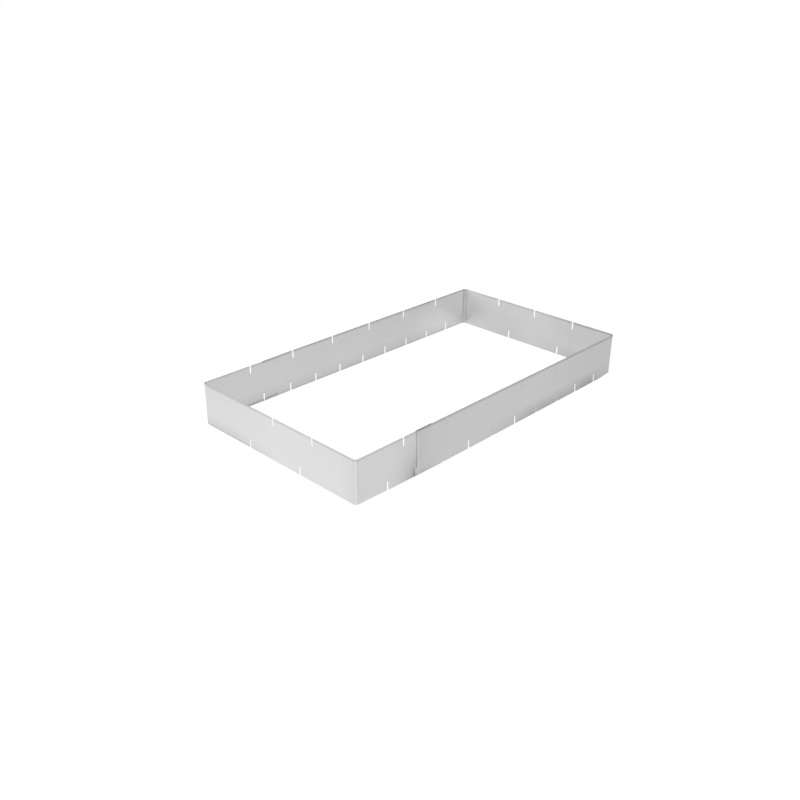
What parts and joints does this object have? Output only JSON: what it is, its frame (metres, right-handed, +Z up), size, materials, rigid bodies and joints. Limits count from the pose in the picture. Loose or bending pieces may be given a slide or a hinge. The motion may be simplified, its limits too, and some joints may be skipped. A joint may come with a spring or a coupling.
{
  "type": "adjustable cake frame",
  "caption": "Rectangular bottomless cake frame of U-shaped steel halves that slide into each other, with slits in its rims that guide the knife to equal portions.",
  "frame": {"origin": "middle of the closed frame's base, on the surface that it stands on", "axes": "+X along the frame, from the inner half's short wall to the outer half's; +Y across it; +Z up"},
  "size_m": [0.438, 0.24, 0.05],
  "materials": {
    "outer_steel": "satin",
    "inner_steel": "satin"
  },
  "bodies": {
    "outer": {"outer_half": "outer_steel"},
    "inner": {"inner_half": "inner_steel"}
  },
  "joints": [
    {"name": "length_slide", "type": "slide", "parent": "outer", "child": "inner", "axis": [-1, 0, 0], "range_m": [0, 0.3]}
  ]
}
